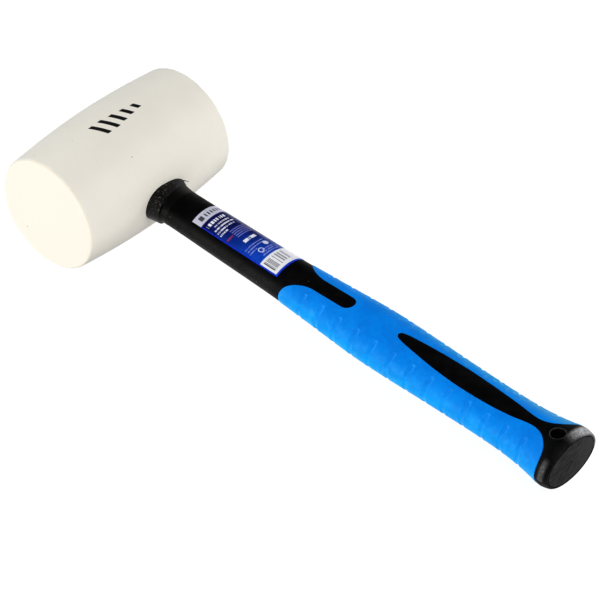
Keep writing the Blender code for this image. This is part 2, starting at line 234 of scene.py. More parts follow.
def on_oval(x, turn, width, height, lift=0.0):
    """Point of an oval section, moved out along its normal by lift."""
    return Vector((x, width * cos(turn), height * sin(turn))) + outward(turn, width, height) * lift


def on_handle(x, turn, lift=0.0):
    return on_oval(x, turn, *handle_half_sizes(x), lift)


def spaced(start, end, step):
    count = max(1, round((end - start) / step))
    return [start + (end - start) * n / count for n in range(count + 1)]


def corner_angles(steps):
    """Even angles over a quarter turn, for a rounded edge."""
    return [n / steps * pi / 2 for n in range(steps + 1)]


def eased(low, high, value):
    t = min(1.0, max(0.0, (value - low) / (high - low)))
    return t * t * (3 - 2 * t)


def mixed(low, high, share):
    return low + (high - low) * share


def barrel_radius(y):
    share = min(1.0, abs(y) / (HEAD_LENGTH / 2 - FACE_EDGE))
    return HEAD_RADIUS - (HEAD_RADIUS - FACE_RADIUS) * share**BARREL_POWER


# ---- mesh building

class Shell:
    """Points and faces of one piece while it is put together."""

    def __init__(self):
        self.points = []
        self.faces = []

    def add(self, points):
        first = len(self.points)
        self.points += [Vector(p) for p in points]
        return list(range(first, len(self.points)))

    def strip(self, rows, closed=False):
        """Quads between successive rows of points; closed joins each row's ends."""
        loops = [self.add(row) for row in rows]
        count = len(rows[0])
        for low, high in zip(loops, loops[1:]):
            for n in range(count if closed else count - 1):
                m = (n + 1) % count
                self.faces.append((low[n], low[m], high[m], high[n]))
        return loops

    def capped(self, rows, first_hub, last_hub):
        """Closed skin through rings, with a fan at both ends."""
        self.strip(rows, closed=True)
        self.fan(rows[0], first_hub, closed=True)
        self.fan(rows[-1], last_hub, closed=True)

    def fan(self, row, centre, closed=False):
        loop = self.add(row)
        hub = self.add([centre])[0]
        for n in range(len(loop) if closed else len(loop) - 1):
            self.faces.append((loop[n], loop[(n + 1) % len(loop)], hub))

    def mirrored(self):
        """Repeats the first quarter in the other three."""
        whole = Shell()
        for side_y in (1, -1):
            for side_z in (1, -1):
                first = len(whole.points)
                whole.points += [Vector((p.x, p.y * side_y, p.z * side_z)) for p in self.points]
                whole.faces += [tuple(first + i for i in face) for face in self.faces]
        return whole

    def leaned(self):
        """Slides the lands and the hole towards -Y, each oval staying the same."""
        for n, p in enumerate(self.points):
            if hypot(p.y, p.z) > CORE_BORE + 0.0001:
                width = handle_half_sizes(p.x)[0]
                share = eased(GRIP_FRONT - 0.005, GRIP_FRONT - 0.001, p.x)
                share *= 1 - eased(RIM_START, 0.3135, p.x)
                slide = LAND_SHIFT / width * share
                side = p.y / width
                squeeze = sqrt(1 - 2 * side * slide - slide * slide * (1 - side * side))
                self.points[n] = Vector((p.x, p.y + slide * width * (1 - side * side), p.z * squeeze))
        return self

    def mesh(self, name, weld=0.000002):
        made = bpy.data.meshes.new(name)
        made.from_pydata([tuple(p) for p in self.points], [], self.faces)
        bm = bmesh.new()
        bm.from_mesh(made)
        bmesh.ops.remove_doubles(bm, verts=bm.verts, dist=weld)
        bmesh.ops.dissolve_degenerate(bm, edges=bm.edges, dist=weld / 4)
        bmesh.ops.recalc_face_normals(bm, faces=bm.faces)
        bm.to_mesh(made)
        bm.free()
        return made


def mallet_matrix():
    """Lays the mallet with its head and butt on the ground, as the CAD does."""
    butt_x, _, butt_height = HANDLE_STATIONS[-1]
    lean = asin((HEAD_RADIUS - butt_height) / butt_x)
    far_end = BUTT_END * cos(lean) + PLUG_HALF_HEIGHT * sin(lean)
    place = Vector(((HEAD_RADIUS - far_end) / 2, 0, HEAD_RADIUS))
    return Matrix.Translation(place) @ Matrix.Rotation(lean, 4, "Y")


MALLET = mallet_matrix()


def new_object(name, data):
    made = bpy.data.objects.new(name, data)
    bpy.context.scene.collection.objects.link(made)
    return made


def add_piece(name, mesh, finish, node, sharp=35):
    """Adds a piece that rides on the root body and stands for a CAD node."""
    mesh.transform(MALLET)
    piece = new_object(name, mesh)
    mesh.materials.clear()
    mesh.materials.append(finish)
    mesh.shade_smooth()
    mesh.set_sharp_from_angle(angle=radians(sharp))
    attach(piece, "root")
    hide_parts(node)
    return piece


def cut(mesh, cutter_mesh, operation="DIFFERENCE"):
    """Mesh left when one closed mesh is cut by another."""
    body = new_object("cut_body", mesh)
    tool = new_object("cut_tool", cutter_mesh)
    step = body.modifiers.new("cut", "BOOLEAN")
    step.operation = operation
    step.solver = "EXACT"
    step.object = tool
    graph = bpy.context.evaluated_depsgraph_get()
    made = bpy.data.meshes.new_from_object(body.evaluated_get(graph))
    for item in (body, tool):
        bpy.data.objects.remove(item)
    return without_spares(made)


def without_spares(mesh):
    """Takes out points left in the middle of straight edges, and faces with no area."""
    bm = bmesh.new()
    bm.from_mesh(mesh)
    bmesh.ops.dissolve_verts(bm, verts=[v for v in bm.verts if len(v.link_edges) == 2])
    bmesh.ops.triangulate(bm, faces=[f for f in bm.faces if len(f.verts) > 4])
    bmesh.ops.dissolve_degenerate(bm, edges=bm.edges, dist=0.000001)
    bm.to_mesh(mesh)
    bm.free()
    return mesh


# ---- material nodes

class Graph:
    """Short calls for the nodes of one material."""

    def __init__(self, name, roughness=0.5, specular=0.5, metallic=0.0):
        self.material = bpy.data.materials.new(name)
        self.material.use_nodes = True
        self.tree = self.material.node_tree
        self.shader = self.tree.nodes["Principled BSDF"]
        self.shader.inputs["Roughness"].default_value = roughness
        self.shader.inputs["Specular IOR Level"].default_value = specular
        self.shader.inputs["Metallic"].default_value = metallic
        spot = self.node("ShaderNodeTexCoord").outputs["Object"]
        laid = {"Vector": spot, "Location": MALLET.to_translation(), "Rotation": MALLET.to_euler()}
        self.place = self.node("ShaderNodeMapping", laid, vector_type="TEXTURE").outputs["Vector"]

    def node(self, kind, inputs=None, **settings):
        made = self.tree.nodes.new(kind)
        for key, value in settings.items():
            setattr(made, key, value)
        for key, value in (inputs or {}).items():
            self.feed(made.inputs[key], value)
        return made

    def feed(self, socket, value):
        if isinstance(value, bpy.types.NodeSocket):
            self.tree.links.new(value, socket)
        else:
            socket.default_value = value

    def math(self, operation, a, b=0.0, clamp=False):
        return self.node("ShaderNodeMath", {0: a, 1: b}, operation=operation, use_clamp=clamp).outputs[0]

    def times(self, first, *others):
        for other in others:
            first = self.math("MULTIPLY", first, other)
        return first

    def plus(self, a, b):
        return self.math("ADD", a, b)

    def minus(self, a, b):
        return self.math("SUBTRACT", a, b)

    def most(self, first, *others):
        for other in others:
            first = self.math("MAXIMUM", first, other)
        return first

    def over(self, a, b):
        return self.math("GREATER_THAN", a, b)

    def length(self, a, b):
        """Length of the flat vector (a, b)."""
        return self.math("SQRT", self.plus(self.times(a, a), self.times(b, b)))

    def axes(self, source=None):
        return self.node("ShaderNodeSeparateXYZ", {0: source or self.place}).outputs[:3]

    def joined(self, x, y=0.0, z=0.0):
        return self.node("ShaderNodeCombineXYZ", {0: x, 1: y, 2: z}).outputs[0]

    def stretched(self, scale):
        inputs = {0: self.place, 1: scale}
        return self.node("ShaderNodeVectorMath", inputs, operation="MULTIPLY").outputs[0]

    def noise(self, scale, detail=3.0, roughness=0.5, source=None):
        inputs = {"Vector": source or self.place, "Scale": scale, "Detail": detail, "Roughness": roughness}
        return self.node("ShaderNodeTexNoise", inputs).outputs["Fac"]

    def ramp(self, value, low, high, to_low=0.0, to_high=1.0):
        inputs = {"Value": value, "From Min": low, "From Max": high, "To Min": to_low, "To Max": to_high}
        return self.node("ShaderNodeMapRange", inputs, interpolation_type="SMOOTHSTEP").outputs["Result"]

    def mix(self, share, a, b):
        a, b = (c if isinstance(c, bpy.types.NodeSocket) else (*c, 1.0) for c in (a, b))
        return self.node("ShaderNodeMix", {0: share, 6: a, 7: b}, data_type="RGBA").outputs[2]

    def layered(self, base, *layers):
        """Colour under layers, each of them (where, how much, colour)."""
        for where, strength, colour in layers:
            base = self.mix(self.times(where, strength), base, colour)
        return base

    def specks(self, scale, rarity, size, soft=0.4):
        """Scattered dots: 1 inside a dot that a few of the cells hold."""
        cells = self.node("ShaderNodeTexVoronoi", {"Vector": self.place, "Scale": scale})
        chosen = self.over(self.axes(cells.outputs["Color"])[0], rarity)
        dot = self.ramp(cells.outputs["Distance"], size * (1 - soft), size * (1 + soft), 1.0, 0.0)
        return self.times(chosen, dot)

    def spot(self, centre, radius):
        """1 within radius of a point in the mallet's frame."""
        away = self.node("ShaderNodeVectorMath", {0: self.place, 1: centre}, operation="DISTANCE")
        return self.ramp(away.outputs["Value"], radius * 0.5, radius * 1.4, 1.0, 0.0)

    def band(self, value, low, high, soft):
        """1 where value lies between low and high, with soft ends."""
        rise = self.ramp(value, low - soft, low + soft)
        return self.times(rise, self.ramp(value, high - soft, high + soft, 1.0, 0.0))

    def box(self, u, v, sides, soft):
        """1 inside a box of (low u, high u, low v, high v)."""
        across = self.band(u, sides[0], sides[1], soft)
        return self.times(across, self.band(v, sides[2], sides[3], soft))

    def colour(self, value):
        self.feed(self.shader.inputs["Base Color"], value)

    def rough(self, value):
        self.feed(self.shader.inputs["Roughness"], value)

    def bump(self, height, distance, strength):
        inputs = {"Strength": strength, "Distance": distance, "Height": height}
        self.feed(self.shader.inputs["Normal"], self.node("ShaderNodeBump", inputs).outputs["Normal"])


# ---- head

def barrel_profile(outset=0.0, rings=48):
    """(radius, y) from one face's edge to the other's, over the crowned side."""
    half = HEAD_LENGTH / 2 + outset
    edge = FACE_EDGE
    face = FACE_RADIUS + outset
    corner = []
    for a in corner_angles(8):
        corner.append((face - edge * (1 - sin(a)), half - edge * (1 - cos(a))))
    crown = []
    for n in range(1, rings):
        y = (half - edge) * cos(pi * n / rings)
        crown.append((barrel_radius(y) + outset, y))
    return corner + crown + [(r, -y) for r, y in corner[::-1]]


def ring_about_y(radius, y, sides):
    turns = [2 * pi * n / sides for n in range(sides)]
    return [(radius * cos(a), y, radius * sin(a)) for a in turns]


def barrel_mesh(name, outset=0.0, sides=208, face_rings=(0.97, 0.9, 0.7, 0.45, 0.2)):
    """Closed barrel along Y, with rings on its flat faces."""
    profile = barrel_profile(outset)
    first_radius, first_y = profile[0]
    rows = [(first_radius * share, first_y) for share in face_rings[::-1]]
    rows += profile + [(radius, -y) for radius, y in rows[::-1]]
    shell = Shell()
    rings = [ring_about_y(radius, y, sides) for radius, y in rows]
    shell.capped(rings, (0, first_y, 0), (0, -first_y, 0))
    return shell.mesh(name)


def oval_row(x, width, height, sides=160):
    return [on_oval(x, 2 * pi * n / sides, width, height) for n in range(sides)]


def eye_mesh(name, clearance):
    """Cutter for the eye, with its flared mouth on the head's far side."""
    width, height = handle_half_sizes(0.0)
    width += clearance
    height += clearance
    past = 0.004
    flare_start = -HEAD_RADIUS + EYE_MOUTH_DEPTH
    rows = [oval_row(HEAD_RADIUS + past, width, height), oval_row(flare_start, width, height)]
    for n in range(1, 9):
        x = flare_start - (EYE_MOUTH_DEPTH + past) * n / 8
        flare = EYE_MOUTH_FLARE * (flare_start - x) / EYE_MOUTH_DEPTH
        rows.append(oval_row(x, width + flare, height + flare))
    shell = Shell()
    shell.capped(rows, (HEAD_RADIUS + past, 0, 0), (-HEAD_RADIUS - past, 0, 0))
    return shell.mesh(name)


def rubber_finish():
    """Matte off-white rubber with a printed mark of plain slanted bars."""
    g = Graph("white_rubber", specular=0.35)
    x, y, z = g.axes()
    grain = g.noise(1500, 2.0)
    from_middle = g.math("ABSOLUTE", y)
    on_face = g.ramp(from_middle, 0.0526, 0.0537)
    on_side = g.minus(1.0, on_face)
    base = g.mix(g.ramp(g.noise(45, 4.0), 0.35, 0.65), (0.814, 0.784, 0.716), (0.826, 0.800, 0.730))
    dots = g.most(g.times(g.specks(230, 0.955, 0.055), on_side), *[g.spot(c, 0.00032) for c in HEAD_SPOTS])
    edge = g.times(g.band(from_middle, 0.0531, 0.0535, 0.0003), g.over(g.length(x, z), 0.0318))
    ink = g.times(mark_mask(g, x, y, z), g.ramp(grain, 0.18, 0.34, 0.75, 1.0))
    g.colour(g.layered(
        base,
        (on_face, 1.0, (0.850, 0.815, 0.735)),
        (g.ramp(grain, 0.35, 0.75), 0.05, (0.55, 0.53, 0.48)),
        # Painted shade: the barrel's side is darkened towards its underside, away from the faces.
        (g.ramp(z, 0.006, -0.022, 0.0, 0.9), on_side, (0.560, 0.540, 0.500)),
        (dots, 0.7, (0.10, 0.085, 0.07)),
        (edge, 0.40, (0.70, 0.60, 0.42)),
        (ink, 1.0, (0.012, 0.012, 0.013)),
    ))
    g.rough(g.minus(g.ramp(g.noise(300), 0.3, 0.7, 0.58, 0.72), g.times(ink, 0.15)))
    g.bump(g.plus(g.times(grain, 0.5), g.times(g.noise(420), 0.8)), 0.00006, 0.5)
    return g.material


def mark_mask(g, x, y, z):
    """Five slanted bars of falling length, printed on the top of the barrel."""
    lean = g.plus(y, g.times(x, -0.45))
    bars = []
    for n, half in enumerate((0.0052, 0.0052, 0.0042, 0.0032, 0.0022)):
        centre = -0.0140 + n * 0.0068
        bars.append(g.box(lean, x, (centre - 0.0014, centre + 0.0014, -half, half), 0.00012))
    return g.times(g.most(*bars), g.over(z, 0.0))


def make_head():
    mesh = cut(barrel_mesh("head_barrel"), eye_mesh("head_eye", GAP))
    mesh.name = "mallet_head"
    return add_piece("mallet_head", mesh, rubber_finish(), "head")


# ---- head's far side

def resin_finish():
    g = Graph("eye_resin", specular=0.5)
    wave = g.noise(260, 4.0)
    g.colour(g.mix(wave, (0.030, 0.030, 0.031), (0.075, 0.072, 0.068)))
    g.rough(g.ramp(wave, 0.3, 0.7, 0.22, 0.42))
    g.bump(g.noise(180, 3.0), 0.0006, 0.5)
    return g.material


def make_eye_bond():
    """Resin that fills the flared mouth, sunk a little below the barrel."""
    width, height = handle_half_sizes(0.0)
    inner_end = -HEAD_RADIUS + BOND_DEPTH
    shell = Shell()
    outer, inner = [], []
    for x in spaced(inner_end, -HEAD_RADIUS - 0.004, 0.0012):
        flare = EYE_MOUTH_FLARE * (-HEAD_RADIUS + EYE_MOUTH_DEPTH - x) / EYE_MOUTH_DEPTH
        outer.append(oval_row(x, width + flare, height + flare))
        inner.append(oval_row(x, width + 0.00005, height + 0.00005))
    loop = outer + inner[::-1] + [outer[0]]
    shell.strip(loop, closed=True)
    keep = barrel_mesh("bond_keep", -BOND_SINK)
    mesh = cut(shell.mesh("eye_resin_ring"), keep, "INTERSECT")
    return add_piece("eye_resin", mesh, resin_finish(), "eye_bond")


def steel_finish():
    g = Graph("wedge_steel", metallic=1.0)
    turned = g.noise(900, 2.0, source=g.stretched((0.2, 1.0, 1.0)))
    g.colour(g.mix(turned, (0.42, 0.41, 0.40), (0.62, 0.61, 0.60)))
    g.rough(g.ramp(turned, 0.3, 0.7, 0.28, 0.48))
    g.bump(turned, 0.00004, 0.6)
    return g.material


def make_wedge():
    """Round wedge in the core's bore, with a chamfered end and a punch mark."""
    stations = (
        (-0.0173, 0.0), (-0.0173, 0.0044), (-0.0250, 0.0047), (-0.0336, 0.00495),
        (-0.0340, 0.0048), (-0.0342, 0.0045), (-0.0342, 0.0018), (-0.0341, 0.0014),
        (-0.0337, 0.0008), (-0.0336, 0.0),
    )
    shell = Shell()
    rows = [oval_row(x, radius, radius, 72) for x, radius in stations[1:-1]]
    shell.capped(rows, (stations[0][0], 0, 0), (stations[-1][0], 0, 0))
    return add_piece("wedge_pin", shell.mesh("wedge_pin"), steel_finish(), "tenon_wedge")


def core_finish():
    """Pulled glass fibre in resin: fine strands along the rod."""
    g = Graph("core_glass", specular=0.5)
    strands = g.noise(900, 3.0, source=g.stretched((0.03, 1.0, 1.0)))
    g.colour(g.mix(g.ramp(strands, 0.35, 0.65), (0.62, 0.50, 0.22), (0.85, 0.76, 0.48)))
    g.rough(g.ramp(strands, 0.3, 0.7, 0.35, 0.6))
    g.bump(strands, 0.00005, 0.6)
    return g.material


def finish_core():
    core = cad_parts["handle_core"]
    core.data.materials.clear()
    core.data.materials.append(core_finish())


# ---- outlines

def through(points, before, after):
    """Smooth curve through plan points, resampled evenly along its length."""
    rail = [Vector(p) for p in (before, *points, after)]
    fine = []
    for i in range(1, len(rail) - 2):
        p0, p1, p2, p3 = rail[i - 1:i + 3]
        reach = (p2 - p1).length / 3
        ahead = (p2 - p0).normalized() * reach
        behind = (p3 - p1).normalized() * reach
        fine += interpolate_bezier(p1, p1 + ahead, p2 - behind, p2, 24)[:-1]
    return fine + [rail[-2]]


def plan_to_handle(points):
    """Plan points (x, y) as (x, turn) on the handle, cut off at the flank."""
    placed = []
    for p in points:
        width = handle_half_sizes(p[0])[0]
        placed.append((p[0], acos(min(1.0, max(0.0, p[1] / width)))))
    return placed


def evenly(path, step):
    """Resamples an (x, turn) path to even steps measured on the handle."""
    spots = [on_handle(*p) for p in path]
    run = [0.0]
    for a, b in zip(spots, spots[1:]):
        run.append(run[-1] + (b - a).length)
    count = round(run[-1] / step)
    wanted = np.linspace(0, run[-1], count + 1)
    xs = np.interp(wanted, run, [p[0] for p in path])
    turns = np.interp(wanted, run, [p[1] for p in path])
    return [(float(x), float(t)) for x, t in zip(xs, turns)]


def front_outline():
    """Edge of the grip's front lobe, from the flank to the tongue's round tip."""
    flank = Vector((GRIP_FRONT, LOBE_CORNER, 0))
    flank_pull = Vector((GRIP_FRONT, 0.7 * LOBE_CORNER, 0))
    tongue = Vector((TONGUE_START, TONGUE_HALF_WIDTH, 0))
    tongue_pull = Vector(((GRIP_FRONT + TONGUE_START) / 2, TONGUE_HALF_WIDTH, 0))
    plan = [(p.x, p.y) for p in interpolate_bezier(flank, flank_pull, tongue_pull, tongue, 200)]
    centre = TONGUE_END - TONGUE_HALF_WIDTH
    for n in range(61):
        a = TOP * (1 - n / 60)
        plan.append((centre + TONGUE_HALF_WIDTH * cos(a), TONGUE_HALF_WIDTH * sin(a)))
    placed = plan_to_handle(plan)
    first = max(n for n, p in enumerate(placed) if p[1] == 0.0)
    placed = placed[first:]
    placed[-1] = (TONGUE_END, TOP)
    return evenly(placed, 0.0006)


def rear_outline():
    """Edge of the rear black land, from the teardrop's tip to the flank."""
    tip = TEARDROP[1]
    flank = TEARDROP[-1]
    plan = through(TEARDROP, (tip[0], -tip[1]), (flank[0], flank[1] + 0.003))
    placed = plan_to_handle(plan)
    last = min(n for n, p in enumerate(placed) if p[1] == 0.0)
    placed = placed[:last + 1]
    placed[0] = (TEARDROP[0][0], TOP)
    return evenly(placed, 0.0006)


def shifted(path, distance):
    """(x, turn) path moved across the handle's skin; its ends keep their turns.

    A positive distance moves towards the grip, a negative one on to the black land.
    """
    spots = [on_handle(*p) for p in path]
    last = len(path) - 1
    moved = []
    for n, (x, turn) in enumerate(path):
        along = spots[min(last, n + 1)] - spots[max(0, n - 1)]
        if n in (0, last):
            along.x = 0.0
        out = outward(turn, *handle_half_sizes(x))
        spot = spots[n] + out.cross(along.normalized()).normalized() * distance
        width, height = handle_half_sizes(spot.x)
        new_turn = atan2(max(0.0, spot.z) / height, max(0.0, spot.y) / width)
        moved.append((spot.x, turn if n in (0, last) else new_turn))
    return moved


def inside(points, polygon):
    """Even-odd test of many points against one polygon."""
    px, py = np.asarray(points, float).T
    result = np.zeros(len(px), bool)
    corners = np.asarray(polygon, float)
    for (x0, y0), (x1, y1) in zip(corners, np.roll(corners, -1, axis=0)):
        crosses = (y0 > py) != (y1 > py)
        if y0 == y1:
            continue
        result ^= crosses & (px < (x1 - x0) * (py - y0) / (y1 - y0) + x0)
    return result


def filled_patch(boundary, xs, turns, clear):
    """Triangles over a closed (x, turn) boundary, with grid points inside it."""
    flat = np.array([(x * 1000, turn * UNROLLED * 1000) for x, turn in boundary])
    grid = np.array([(x, turn) for x in xs for turn in turns])
    flat_grid = grid * (1000, UNROLLED * 1000)
    keep = inside(flat_grid, flat)
    for corner in flat:
        keep &= np.hypot(*(flat_grid - corner).T) > clear * 1000
    places = list(boundary) + [tuple(p) for p in grid[keep]]
    coords = [Vector(p) for p in flat] + [Vector(p) for p in flat_grid[keep]]
    count = len(boundary)
    edges = [(n, (n + 1) % count) for n in range(count)]
    found = delaunay_2d_cdt(coords, edges, [], 0, 1e-5)
    spots = []
    for vertex, origin in zip(found[0], found[3]):
        spots.append(places[origin[0]] if origin else (vertex.x / 1000, vertex.y / UNROLLED / 1000))
    triangles = [tuple(face) for face in found[2]]
    middles = [sum((found[0][i] for i in face), Vector((0, 0))) / 3 for face in triangles]
    held = inside([tuple(m) for m in middles], flat)
    return spots, [face for face, is_in in zip(triangles, held) if is_in]


def add_patch(shell, boundary, xs, turns, clear, lift):
    """Skin over a closed (x, turn) boundary, raised by lift(x, turn)."""
    spots, triangles = filled_patch(boundary, xs, turns, clear)
    loop = shell.add([on_handle(x, turn, lift(x, turn)) for x, turn in spots])
    shell.faces += [tuple(loop[i] for i in face) for face in triangles]


def between(start, end, step, turn):
    """Even (x, turn) steps from start to end, without the two ends."""
    return [(x, turn) for x in spaced(start, end, step)[1:-1]]


FRONT_EDGE = front_outline()
REAR_EDGE = rear_outline()


def both_edges(distance):
    return shifted(FRONT_EDGE, distance), shifted(REAR_EDGE, distance)


# ---- grip

def slot_lift(x, turn):
    """How far the skin sinks (or rises) at a finger slot."""
    nearest = round((x - SLOT_FIRST) / SLOT_PITCH)
    nearest = min(SLOT_COUNT - 1, max(0, nearest))
    width, height = handle_half_sizes(x)
    arc = (width + height) / 2
    end_centre = SLOT_HALF_ANGLE - SLOT_WIDTH / 2 / arc
    past = max(0.0, arc * (turn - end_centre))
    away = hypot(x - SLOT_FIRST - nearest * SLOT_PITCH, past) / (SLOT_WIDTH / 2)
    sink = SLOT_DEPTH * (1 - eased(0.25, 1.15, away))
    lip = 0.00010 * exp(-((away - 1.45) / 0.3) ** 2)
    return lip - sink


def grip_rows():
    """x of the grip's rows: close together across the slots."""
    rows = []
    half = SLOT_WIDTH * 0.9
    x = GRIP_FRONT
    for n in range(SLOT_COUNT):
        centre = SLOT_FIRST + n * SLOT_PITCH
        rows += spaced(x, centre - half, 0.0010)[:-1]
        rows += spaced(centre - half, centre + half, 0.00030)[:-1]
        x = centre + half
    return rows + spaced(x, TEARDROP[-1][0], 0.0010)


def grip_turns():
    end = SLOT_HALF_ANGLE
    fine = radians(8)
    coarse = spaced(0.0, end - fine, 0.055)[:-1]
    return coarse + spaced(end - fine, end + fine / 2, 0.024)[:-1] + spaced(end + fine / 2, TOP, 0.06)


def edge_profile():
    """(distance in from the seam, lift) over the grip's rounded edge."""
    profile = []
    for a in corner_angles(6):
        profile.append((GRIP_SEAM + GRIP_ROUND * (1 - cos(a)), GRIP_LIFT - GRIP_ROUND * (1 - sin(a))))
    return profile + [(GRIP_SEAM + GRIP_ROUND + 0.0004, GRIP_LIFT)]


def make_grip():
    """Soft sleeve: a quarter of its skin, edge and back, mirrored all round."""
    shell = Shell()
    profile = edge_profile()
    floor = SKIN_GAP - GRIP_THICKNESS
    for path in (FRONT_EDGE, REAR_EDGE):
        rows = [[on_handle(x, t, floor) for x, t in shifted(path, profile[0][0])]]
        for distance, lift in profile:
            rows.append([on_handle(x, t, lift) for x, t in shifted(path, distance)])
        shell.strip(rows)
    xs = grip_rows()
    boundary = closed_boundary(*both_edges(profile[-1][0]), xs)
    add_patch(shell, boundary, xs, grip_turns(), 0.00035, lambda x, t: GRIP_LIFT + slot_lift(x, t))
    coarse = spaced(GRIP_FRONT, TEARDROP[-1][0], 0.003)
    boundary = closed_boundary(*both_edges(profile[0][0]), coarse)
    add_patch(shell, boundary, coarse, spaced(0, TOP, 0.16), 0.0008, lambda x, t: floor)
    mesh = shell.mirrored().leaned().mesh("grip_soft")
    return add_piece("grip_soft", mesh, grip_finish(), "grip_sleeve")


def closed_boundary(front, rear, xs):
    """Front edge, seam along the top, rear edge, and the flank line back."""
    top = [(x, TOP) for x in xs if front[-1][0] + 0.0003 < x < rear[0][0] - 0.0003]
    flank = [(x, 0.0) for x in xs[::-1] if front[0][0] + 0.0003 < x < rear[-1][0] - 0.0003]
    return front + top + rear + flank


def grip_finish():
    """Soft blue rubber: matte and mottled, with painted light: paler low down, painted highlights on the
    slot edges and in glossy patches, and a painted grey sheen and glints on the far flank.
    """
    g = Graph("blue_grip", specular=0.22)
    x, y, z = g.axes()
    mottle = g.plus(g.times(g.noise(70, 4.0), 0.6), g.times(g.noise(420), 0.4))
    # Painted light: lit and shaded blues, lighter low on the flank and darker on its top.
    low = g.ramp(z, 0.0105, -0.003)
    top = g.mix(g.ramp(mottle, 0.38, 0.62), (0.0, 0.235, 0.720), (0.0, 0.275, 0.790))
    side = g.mix(g.ramp(mottle, 0.40, 0.60), (0.0, 0.350, 0.850), (0.0, 0.420, 0.950))
    # Painted reflection: the far flank, and the far side towards the rear, are painted a paler grey-blue for
    # the sheen of light skimming them.
    far = g.times(g.ramp(y, 0.005, 0.013), g.ramp(x, 0.16, 0.27, 0.4, 1.0))
    rear = g.times(g.ramp(y, 0.003, 0.010), g.ramp(x, 0.262, 0.292))
    # Painted highlights: lighter glossy patches on the low flank.
    patches = g.times(g.ramp(g.noise(150, 3.0, 0.6), 0.52, 0.64), low)
    # Painted glints: pale spots scattered over the far flank.
    far_glints = g.times(g.ramp(g.noise(300, 4.0, 0.65), 0.54, 0.64), far)
    g.colour(g.layered(
        g.mix(low, top, side),
        (far, 0.75, (0.012, 0.330, 0.590)),
        (rear, 0.6, (0.060, 0.330, 0.640)),
        (patches, 0.45, (0.045, 0.470, 1.0)),
        (far_glints, 0.55, (0.30, 0.52, 0.82)),
        (slot_highlights(g, x, y, z), 1.0, (0.075, 0.480, 1.0)),
        (g.specks(700, 0.985, 0.12), 0.25, (0.25, 0.45, 0.85)),
    ))
    g.rough(g.ramp(g.noise(120, 4.0, 0.6), 0.3, 0.7, 0.42, 0.60))
    g.bump(g.plus(g.times(g.noise(2200, 2.0), 0.5), g.noise(500)), 0.00005, 0.5)
    return g.material


def slot_highlights(g, x, y, z):
    """Painted highlight: a pale line along each finger slot's rear edge, and a curl at its ends, where the
    slot's edges catch the light.
    """
    share = g.times(g.minus(x, SLOT_FIRST - SLOT_PITCH / 2), 1 / SLOT_PITCH)
    off = g.times(g.minus(g.math("FRACT", share), 0.5), SLOT_PITCH)
    slope = g.math("DIVIDE", g.math("ABSOLUTE", z), g.math("ABSOLUTE", y))
    slot_range = g.band(x, SLOT_FIRST - 0.003, SLOT_FIRST + (SLOT_COUNT - 1) * SLOT_PITCH + 0.003, 0.0005)
    line = g.times(g.band(off, 0.0008, 0.0015, 0.0005), g.ramp(slope, 0.85, 0.95, 1.0, 0.0), 0.30)
    curl = g.times(g.band(slope, 0.80, 0.92, 0.06), g.band(off, -0.0004, 0.0012, 0.0006), 0.40)
    patchy = g.ramp(g.noise(300, 4.0, 0.65), 0.40, 0.60, 0.10, 1.0)
    return g.times(g.most(line, curl), patchy, slot_range)


# ---- jacket

def quarter_turns():
    """Turns of a quarter section, with a few close to the flank's parting line."""
    near = [0.0, 0.009, 0.022]
    return near + [TOP * n / QUARTER_SIDES for n in range(1, QUARTER_SIDES + 1)]


def parting(x, turn):
    """Fine ridge where the two mould halves met, along the middle of the flank."""
    across = turn * 0.010
    wave = 0.6 + 0.4 * noise.noise(Vector((x * 260, 0, 0)))
    return 0.00007 * wave * exp(-(across / 0.00013) ** 2)


def section(x, lift=0.0):
    return [on_handle(x, turn, lift + parting(x, turn)) for turn in quarter_turns()]


def oval_quarter(x, width, height):
    return [on_oval(x, turn, width, height) for turn in quarter_turns()]


def land_edges(shell):
    """Rounded edges of the black lands and the groove walls under the grip."""
    for path in (FRONT_EDGE, REAR_EDGE):
        rows = []
        for distance, lift in LAND_PROFILE:
            ridge = distance / LAND_PROFILE[0][0]
            rows.append([on_handle(x, t, lift + ridge * parting(x, t)) for x, t in shifted(path, -distance)])
        rows.append([on_handle(x, t, -GRIP_THICKNESS) for x, t in path])
        shell.strip(rows)


def hole_row(radius, sink, sides=40):
    """Half ring round the hanging hole, following the handle's skin."""
    row = []
    for n in range(sides + 1):
        a = pi * n / sides
        x, y = HOLE_X + radius * cos(a), radius * sin(a)
        width, height = handle_half_sizes(x)
        turn = acos(min(1.0, y / width))
        row.append((x, turn, height * sin(turn) - sink))
    return row


def hanging_hole(shell):
    """Rounded lip and straight bore of the hanging hole; returns its outer edge."""
    rows = []
    for a in corner_angles(5):
        ring = hole_row(HOLE_RADIUS + HOLE_LIP * (1 - sin(a)), HOLE_LIP * (1 - cos(a)))
        rows.append([(x, handle_half_sizes(x)[0] * cos(turn), z) for x, turn, z in ring])
    rows.append([(x, y, z * 0.5) for x, y, z in rows[-1]])
    rows.append([(x, y, 0.0) for x, y, z in rows[-1]])
    shell.strip(rows)
    edge = [(x, turn) for x, turn, _ in hole_row(HOLE_RADIUS + HOLE_LIP, 0.0)]
    edge[0] = (HOLE_X + HOLE_RADIUS + HOLE_LIP, TOP)
    edge[-1] = (HOLE_X - HOLE_RADIUS - HOLE_LIP, TOP)
    return edge


def make_jacket():
    """Black handle moulding: tenon, shaft, lands, groove for the grip, and butt."""
    shell = Shell()
    add_tenon(shell)
    land_edges(shell)
    add_lands(shell)
    coarse = spaced(GRIP_FRONT, TEARDROP[-1][0], 0.004)
    groove = closed_boundary(FRONT_EDGE, REAR_EDGE, coarse)
    add_patch(shell, groove, coarse, spaced(0, TOP, 0.16), 0.0008, lambda x, t: -GRIP_THICKNESS)
    add_butt(shell)
    mesh = shell.mirrored().leaned().mesh("handle_black")
    return add_piece("handle_black", mesh, jacket_finish(), "handle_jacket")


